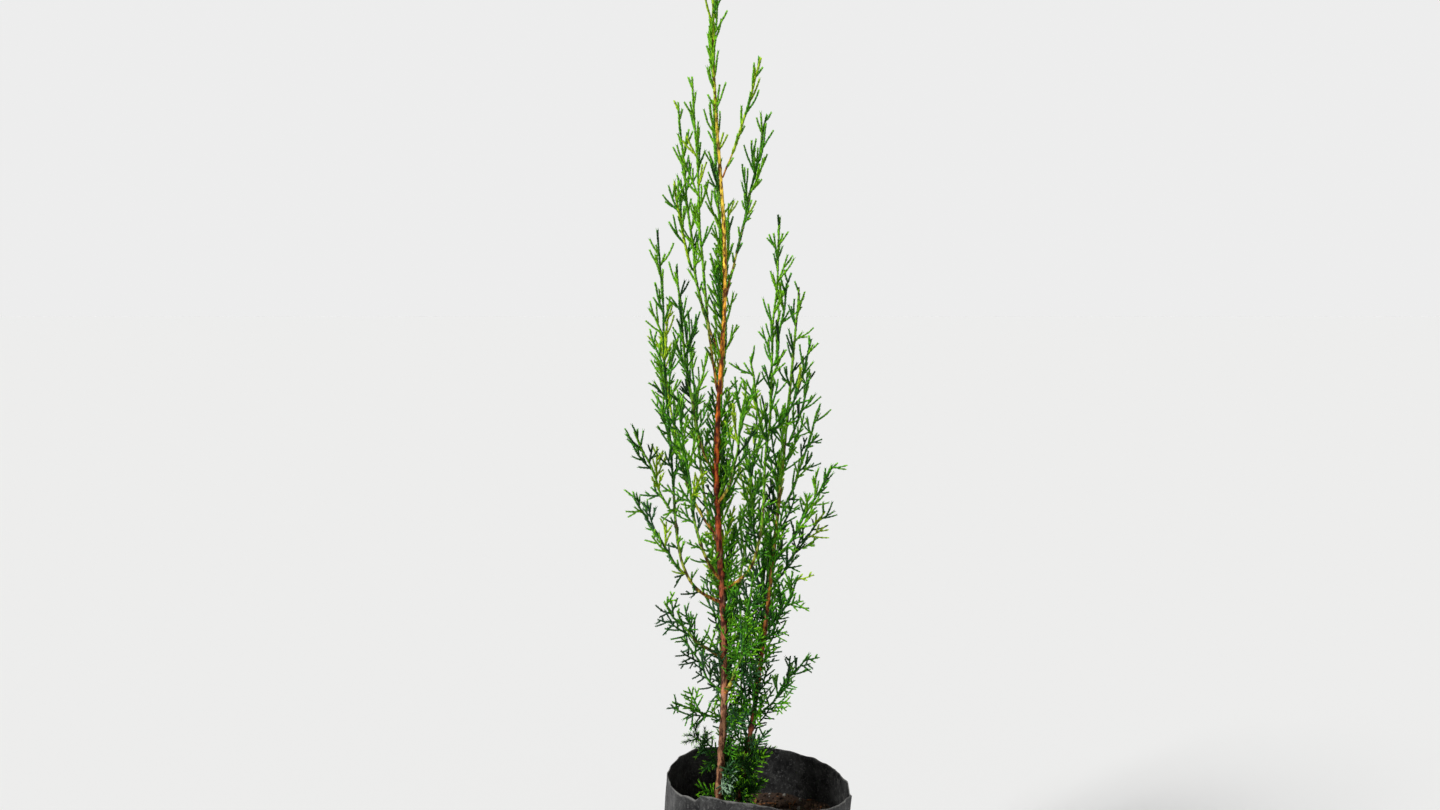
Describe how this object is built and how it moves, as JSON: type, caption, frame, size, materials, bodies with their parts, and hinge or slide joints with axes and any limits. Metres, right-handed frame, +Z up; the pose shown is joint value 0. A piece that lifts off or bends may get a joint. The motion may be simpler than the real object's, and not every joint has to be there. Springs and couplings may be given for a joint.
{
  "type": "cypress tree",
  "caption": "Young columnar cypress with a slender leader, a second stem from its foot and steep feathery boughs, growing in soil in a round black film grow bag.",
  "frame": {"origin": "centre of the bag's flat underside", "axes": "+Z up along the stem, +X to the plant's right as seen from the front, +Y to its back"},
  "size_m": [0.1821, 0.1574, 0.848],
  "materials": {
    "bark": "thin reddish-brown bark, rough and grey towards the foot, orange-yellow and smooth higher up",
    "greenwood": "young wood, orange-brown at the joint and yellow-green further out, satin",
    "foliage": "scale leaves in cord-like shoots, bright yellow-green at the tips, deep green inside, blue-green at the foot",
    "film": "thin black film, soft sheen under grey dust, creased",
    "soil": "brown lumpy potting soil"
  },
  "bodies": {
    "root": {"bough_back_left": "greenwood", "bough_back_low": "greenwood", "bough_back_right": "greenwood", "bough_back_top": "greenwood", "bough_back_upper": "greenwood", "bough_front_left": "greenwood", "bough_front_low": "greenwood", "bough_front_right": "greenwood", "bough_front_upper": "greenwood", "bough_left_inner": "greenwood", "bough_left_long": "greenwood", "bough_left_middle": "greenwood", "bough_left_upper": "greenwood", "bough_low_left_outer": "greenwood", "bough_right_long": "greenwood", "bough_right_upper": "greenwood", "bough_top_right": "greenwood", "foliage_back_left": "foliage", "foliage_back_low": "foliage", "foliage_back_right": "foliage", "foliage_back_top": "foliage", "foliage_back_upper": "foliage", "foliage_base_left": "foliage", "foliage_base_tuft": "foliage", "foliage_front_left": "foliage", "foliage_front_low": "foliage", "foliage_front_right": "foliage", "foliage_front_upper": "foliage", "foliage_leader_tip": "foliage", "foliage_left_inner": "foliage", "foliage_left_long": "foliage", "foliage_left_middle": "foliage", "foliage_left_tip_low": "foliage", "foliage_left_tip_middle": "foliage", "foliage_left_upper": "foliage", "foliage_low_left_flat": "foliage", "foliage_low_left_inner": "foliage", "foliage_low_left_outer": "foliage", "foliage_right_long": "foliage", "foliage_right_long_inner": "foliage", "foliage_right_long_outer": "foliage", "foliage_right_upper": "foliage", "foliage_side_stem_tip": "foliage", "foliage_stem_back": "foliage", "foliage_stem_core_lower": "foliage", "foliage_stem_core_upper": "foliage", "foliage_stem_side_fifth": "foliage", "foliage_stem_side_first": "foliage", "foliage_stem_side_fourth": "foliage", "foliage_stem_side_second": "foliage", "foliage_stem_side_seventh": "foliage", "foliage_stem_side_sixth": "foliage", "foliage_stem_side_third": "foliage", "foliage_top_right": "foliage", "foliage_upper_left_side": "foliage", "grow_bag": "film", "side_stem": "bark", "soil": "soil", "trunk": "bark"}
  },
  "joints": []
}
